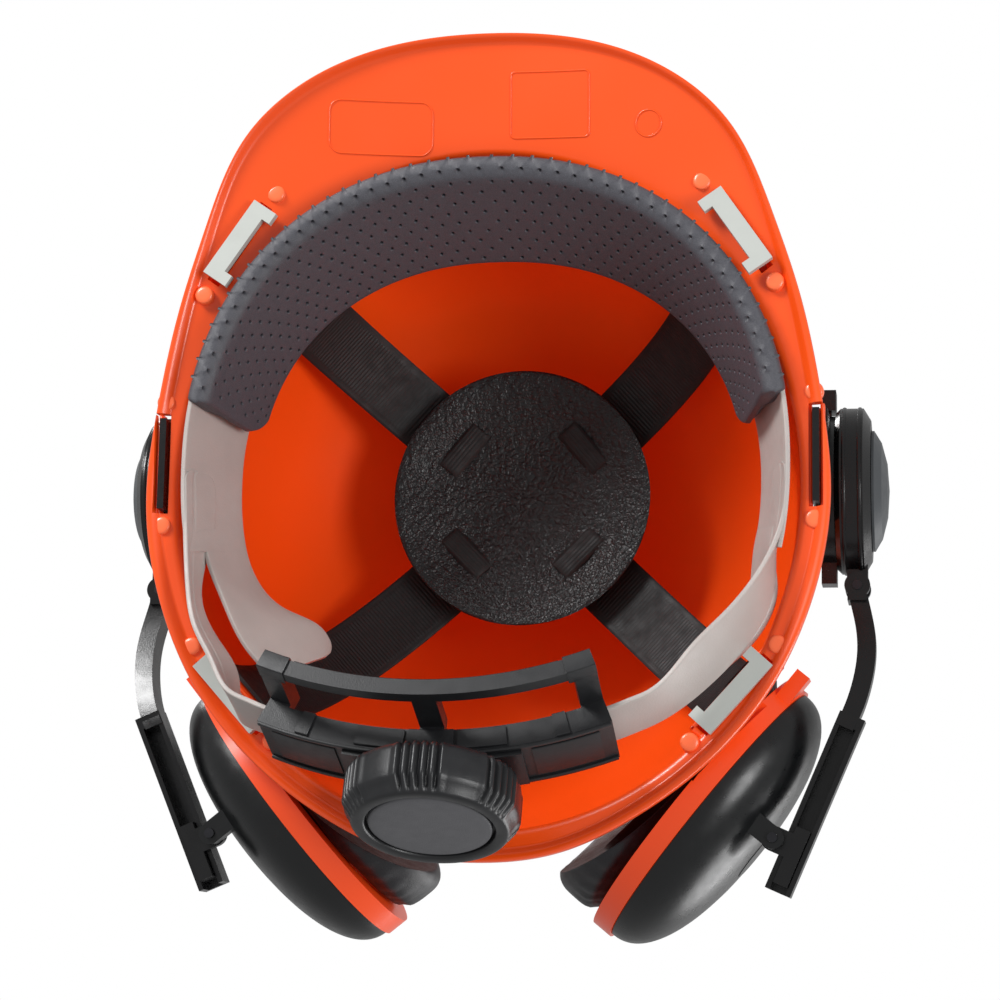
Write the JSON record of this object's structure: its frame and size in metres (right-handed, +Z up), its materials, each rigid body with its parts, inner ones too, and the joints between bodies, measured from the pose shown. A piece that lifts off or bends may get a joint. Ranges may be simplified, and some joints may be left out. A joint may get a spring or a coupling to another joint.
{
  "type": "hard hat",
  "caption": "Cap-style hard hat with a front peak, webbing suspension, sweatband, ratchet nape strap and earmuffs parked on side arms behind the shell.",
  "frame": {"origin": "middle of the head opening, in the plane where the dome's inner wall meets the flange", "axes": "+Z up through the crown, -Y to the peak (front), +X to the wearer's left"},
  "size_m": [0.2564, 0.2919, 0.1933],
  "materials": {
    "shell": "glossy moulded polyethylene, orange",
    "key": "satin moulded plastic, light grey",
    "webbing": "ribbed polyester webbing, black",
    "crown_pad": "pebbled leatherette, black",
    "band": "textured translucent polyethylene, grey",
    "sweatband": "perforated soft leatherette over foam, slate grey",
    "ratchet": "moulded plastic, charcoal",
    "knob_face": "fine textured disc, grey",
    "steel": "bright steel",
    "arm": "glossy acetal, black",
    "hub_cap": "satin domed cap, dark grey",
    "cup": "smooth moulded cup, black",
    "ring": "moulded ring, orange",
    "cushion": "soft smooth leatherette over foam, black",
    "foam": "open-cell acoustic foam, dark grey"
  },
  "bodies": {
    "root": {"shell": "shell", "key_front_left": "key", "key_front_right": "key", "key_rear_left": "key", "key_rear_right": "key", "strap_front_left": "webbing", "strap_front_right": "webbing", "crown_pad": "crown_pad", "headband": "band", "sweatband": "sweatband", "ratchet_housing": "ratchet", "ratchet_cover": "ratchet", "detent_ring": "ratchet", "slot_adapter_left": "arm", "slot_adapter_right": "arm", "hub_pin_left": "arm", "hub_pin_right": "arm"},
    "knob": {"ratchet_knob": "ratchet", "knob_face": "knob_face", "pinion_shaft": "ratchet", "pawl_spring": "steel", "knob_screw": "steel"},
    "tail_left": {"nape_strap_left": "band"},
    "tail_right": {"nape_strap_right": "band"},
    "hub_left": {"hub_housing_left": "arm", "hub_spring_left": "steel", "hub_cap_left": "hub_cap", "arm_pin_left": "steel"},
    "muff_arm_left": {"arm_left": "arm"},
    "slider_left": {"slider_block_left": "arm", "cup_pivot_left": "steel"},
    "cup_left": {"cup_shell_left": "cup", "cup_ring_left": "ring", "cup_cushion_left": "cushion", "cup_foam_left": "foam"},
    "hub_right": {"hub_housing_right": "arm", "hub_spring_right": "steel", "hub_cap_right": "hub_cap", "arm_pin_right": "steel"},
    "muff_arm_right": {"arm_right": "arm"},
    "slider_right": {"slider_block_right": "arm", "cup_pivot_right": "steel"},
    "cup_right": {"cup_shell_right": "cup", "cup_ring_right": "ring", "cup_cushion_right": "cushion", "cup_foam_right": "foam"}
  },
  "joints": [
    {"name": "knob_spin", "type": "hinge", "parent": "root", "child": "knob", "pos_m": [-0.0085, 0.10471, -0.02991], "axis": [0, -0.9205, 0.3907], "range_deg": [0, 114]},
    {"name": "tail_left_feed", "type": "hinge", "parent": "root", "child": "tail_left", "pos_m": [-0.0085, -0.03337, 0.0287], "axis": [0, 0.3907, 0.9205], "range_deg": [0, 4]},
    {"name": "tail_right_feed", "type": "hinge", "parent": "root", "child": "tail_right", "pos_m": [-0.0085, -0.03337, 0.0287], "axis": [0, -0.3907, -0.9205], "range_deg": [0, 4]},
    {"name": "muff_swing_left", "type": "hinge", "parent": "root", "child": "hub_left", "pos_m": [0.117, 0.0005, 0.0475], "axis": [1, 0, 0], "range_deg": [0, 60]},
    {"name": "arm_flip_left", "type": "hinge", "parent": "hub_left", "child": "muff_arm_left", "pos_m": [0.1176, 0.033, 0.045], "axis": [0, 0, -1], "range_deg": [0, 30]},
    {"name": "cup_slide_left", "type": "slide", "parent": "muff_arm_left", "child": "slider_left", "axis": [0.3939, -0.9191, 0], "range_m": [0, 0.006]},
    {"name": "cup_swivel_left", "type": "hinge", "parent": "slider_left", "child": "cup_left", "pos_m": [0.09119, 0.11629, 0.018], "axis": [0, 0, 1], "range_deg": [0, 6]},
    {"name": "muff_swing_right", "type": "hinge", "parent": "root", "child": "hub_right", "pos_m": [-0.117, 0.0005, 0.0475], "axis": [1, 0, 0], "range_deg": [0, 60]},
    {"name": "arm_flip_right", "type": "hinge", "parent": "hub_right", "child": "muff_arm_right", "pos_m": [-0.1176, 0.033, 0.045], "axis": [0, 0, 1], "range_deg": [0, 30]},
    {"name": "cup_slide_right", "type": "slide", "parent": "muff_arm_right", "child": "slider_right", "axis": [-0.3939, -0.9191, 0], "range_m": [0, 0.006]},
    {"name": "cup_swivel_right", "type": "hinge", "parent": "slider_right", "child": "cup_right", "pos_m": [-0.09119, 0.11629, 0.018], "axis": [0, 0, -1], "range_deg": [0, 6]}
  ],
  "couplings": [
    {"joint": "tail_left_feed", "follows": "knob_spin", "ratio": 0.035},
    {"joint": "tail_right_feed", "follows": "knob_spin", "ratio": 0.035}
  ]
}
